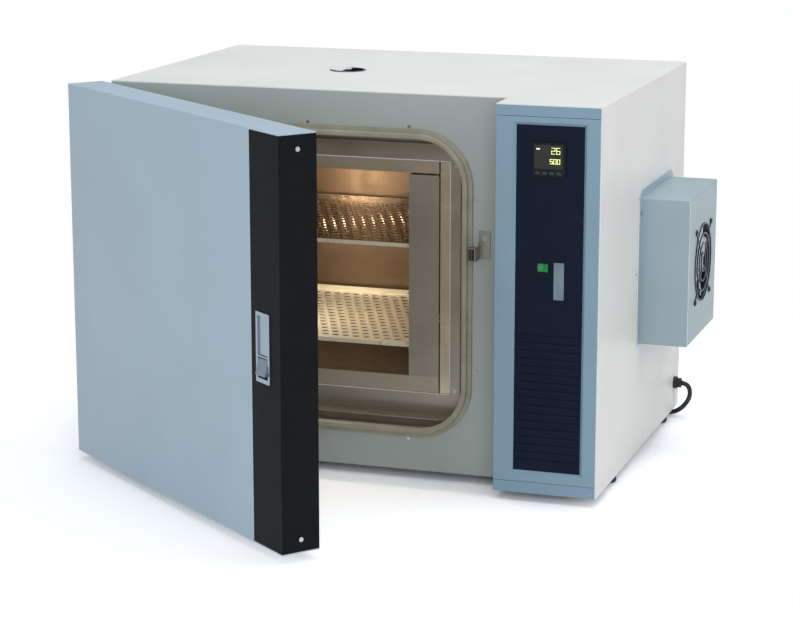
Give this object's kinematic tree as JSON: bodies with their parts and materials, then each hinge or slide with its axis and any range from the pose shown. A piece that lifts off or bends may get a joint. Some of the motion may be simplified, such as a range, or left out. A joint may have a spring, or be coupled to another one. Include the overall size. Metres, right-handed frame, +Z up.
{
  "type": "forced-air drying oven",
  "caption": "Bench-top fan convection oven with its door open on two shelves, a control column on the right and a cooled motor box on its side.",
  "frame": {"origin": "on the floor under the centre of the casing, level with the feet's soles", "axes": "+Z up, front towards -Y, control column towards +X"},
  "size_m": [0.8681, 1.0656, 0.5636],
  "materials": {
    "casing_paint": "satin off-white powder paint",
    "panel_paint": "satin grey-blue powder paint",
    "column_paint": "satin light blue powder paint",
    "door_paint": "satin pale blue powder paint",
    "galvanised_sheet": "dull galvanised sheet",
    "foot_rubber": "matte black rubber",
    "fascia_plastic": "dark navy printed film",
    "strip_plastic": "light grey plastic",
    "controller_plastic": "near black moulding",
    "display_window": "dark glossy window",
    "key_plastic": "dark grey keys",
    "rocker_green": "lit green rocker",
    "chassis_sheet": "plain sheet with components",
    "throat_steel": "brushed stainless steel",
    "seal_silicone": "beige silicone rubber",
    "screw_steel": "bright plated steel",
    "liner_steel": "reflective stainless steel",
    "chamber_steel": "brushed stainless steel",
    "runner_steel": "stainless steel",
    "shelf_steel": "perforated stainless steel",
    "mineral_wool": "mineral wool",
    "vent_aluminium": "satin aluminium",
    "vent_disc_paint": "white painted disc",
    "motor_casting": "grey painted motor",
    "shaft_steel": "ground steel",
    "impeller_steel": "pressed steel",
    "element_sheath": "oxidised sheath",
    "probe_steel": "stainless steel",
    "fan_frame_aluminium": "black coated frame",
    "fan_rotor_plastic": "dark blue-black rotor",
    "guard_chrome": "chromed wire",
    "keeper_steel": "dull plated steel",
    "roller_plastic": "dark roller",
    "hinge_steel": "satin plated steel",
    "trim_black": "black satin paint",
    "handle_satin": "satin nickel",
    "latch_steel": "zinc plated steel",
    "gland_plastic": "black nylon",
    "cord_pvc": "black PVC cord",
    "plug_plastic": "black moulded plug"
  },
  "bodies": {
    "cabinet": {"casing_wrap": "casing_paint", "base_pan": "galvanised_sheet", "feet": "foot_rubber", "back_panel": "casing_paint", "front_panel": "panel_paint", "column_wall": "panel_paint", "column_rails": "column_paint", "column_front_frame": "column_paint", "control_fascia": "fascia_plastic", "blanking_plate": "strip_plastic", "controller_case": "controller_plastic", "controller_window": "display_window", "switch_housing": "controller_plastic", "control_chassis": "chassis_sheet", "throat_frame": "throat_steel", "door_seal": "seal_silicone", "front_screws": "screw_steel", "chamber_liner": "liner_steel", "working_chamber": "chamber_steel", "duct_cover": "chamber_steel", "runners_left": "runner_steel", "runners_right": "runner_steel", "chamber_insulation": "mineral_wool", "vent_chimney": "vent_aluminium", "circulation_motor": "motor_casting", "heating_element": "element_sheath", "temperature_probe": "probe_steel", "motor_box": "casing_paint", "cooling_fan_frame": "fan_frame_aluminium", "fan_guard": "guard_chrome", "keeper_bracket": "keeper_steel", "hinge_cabinet_leaves": "hinge_steel", "casing_screws": "screw_steel", "cable_gland": "gland_plastic", "mains_cord": "cord_pvc", "cord_coil": "cord_pvc", "mains_plug": "plug_plastic"},
    "door": {"door_skin": "door_paint", "door_trim": "trim_black", "trim_screws": "screw_steel", "door_inner_panel": "chamber_steel", "door_core": "mineral_wool", "handle_escutcheon": "handle_satin", "latch_bracket": "latch_steel", "hinge_door_leaves": "hinge_steel"},
    "paddle": {"latch_paddle": "handle_satin"},
    "bolt": {"latch_bolt": "latch_steel"},
    "roller": {"keeper_roller": "roller_plastic"},
    "lower_shelf": {"shelf_lower": "shelf_steel"},
    "upper_shelf": {"shelf_upper": "shelf_steel"},
    "vent_disc": {"vent_damper": "vent_disc_paint"},
    "page_key": {"key_page": "key_plastic"},
    "scroll_key": {"key_scroll": "key_plastic"},
    "down_key": {"key_down": "key_plastic"},
    "up_key": {"key_up": "key_plastic"},
    "rocker": {"power_rocker": "rocker_green"},
    "air_fan": {"circulation_shaft": "shaft_steel", "circulation_impeller": "impeller_steel"},
    "motor_fan": {"cooling_fan_rotor": "fan_rotor_plastic"}
  },
  "joints": [
    {"name": "door_hinge", "type": "hinge", "parent": "cabinet", "child": "door", "pos_m": [-0.39, -0.211, 0.286], "axis": [0, 0, 1], "range_deg": [-141.5, 38.5]},
    {"name": "paddle_pull", "type": "hinge", "parent": "door", "child": "paddle", "pos_m": [0.02093, -0.61453, 0.26315], "axis": [0.7826, -0.6225, 0], "range_deg": [0, 14.5]},
    {"name": "bolt_slide", "type": "slide", "parent": "door", "child": "bolt", "axis": [0.7826, -0.6225, 0], "range_m": [0, 0.007]},
    {"name": "roller_turn", "type": "hinge", "parent": "cabinet", "child": "roller", "pos_m": [0.1815, -0.237, 0.34], "axis": [0, 0, 1], "continuous": true},
    {"name": "lower_shelf_slide", "type": "slide", "parent": "cabinet", "child": "lower_shelf", "axis": [0, -1, 0], "range_m": [0, 0.035]},
    {"name": "upper_shelf_slide", "type": "slide", "parent": "cabinet", "child": "upper_shelf", "axis": [0, -1, 0], "range_m": [0, 0.035]},
    {"name": "vent_turn", "type": "hinge", "parent": "cabinet", "child": "vent_disc", "pos_m": [-0.087, 0.007, 0.56], "axis": [0, 0, 1], "range_deg": [0, 180]},
    {"name": "page_press", "type": "slide", "parent": "cabinet", "child": "page_key", "axis": [0, 1, 0], "range_m": [0, 0.0008], "stiffness_N_per_m": 400},
    {"name": "scroll_press", "type": "slide", "parent": "cabinet", "child": "scroll_key", "axis": [0, 1, 0], "range_m": [0, 0.0008], "stiffness_N_per_m": 400},
    {"name": "down_press", "type": "slide", "parent": "cabinet", "child": "down_key", "axis": [0, 1, 0], "range_m": [0, 0.0008], "stiffness_N_per_m": 400},
    {"name": "up_press", "type": "slide", "parent": "cabinet", "child": "up_key", "axis": [0, 1, 0], "range_m": [0, 0.0008], "stiffness_N_per_m": 400},
    {"name": "rocker_tilt", "type": "hinge", "parent": "cabinet", "child": "rocker", "pos_m": [0.2945, -0.267, 0.3348], "axis": [0, 0, 1], "range_deg": [0, 14]},
    {"name": "air_fan_spin", "type": "hinge", "parent": "cabinet", "child": "air_fan", "pos_m": [0, 0.074, 0.287], "axis": [1, 0, 0], "continuous": true},
    {"name": "motor_fan_spin", "type": "hinge", "parent": "cabinet", "child": "motor_fan", "pos_m": [0, 0.074, 0.287], "axis": [1, 0, 0], "continuous": true}
  ],
  "couplings": [
    {"joint": "paddle_pull", "follows": "bolt_slide", "rad_per_m": 34.9}
  ]
}
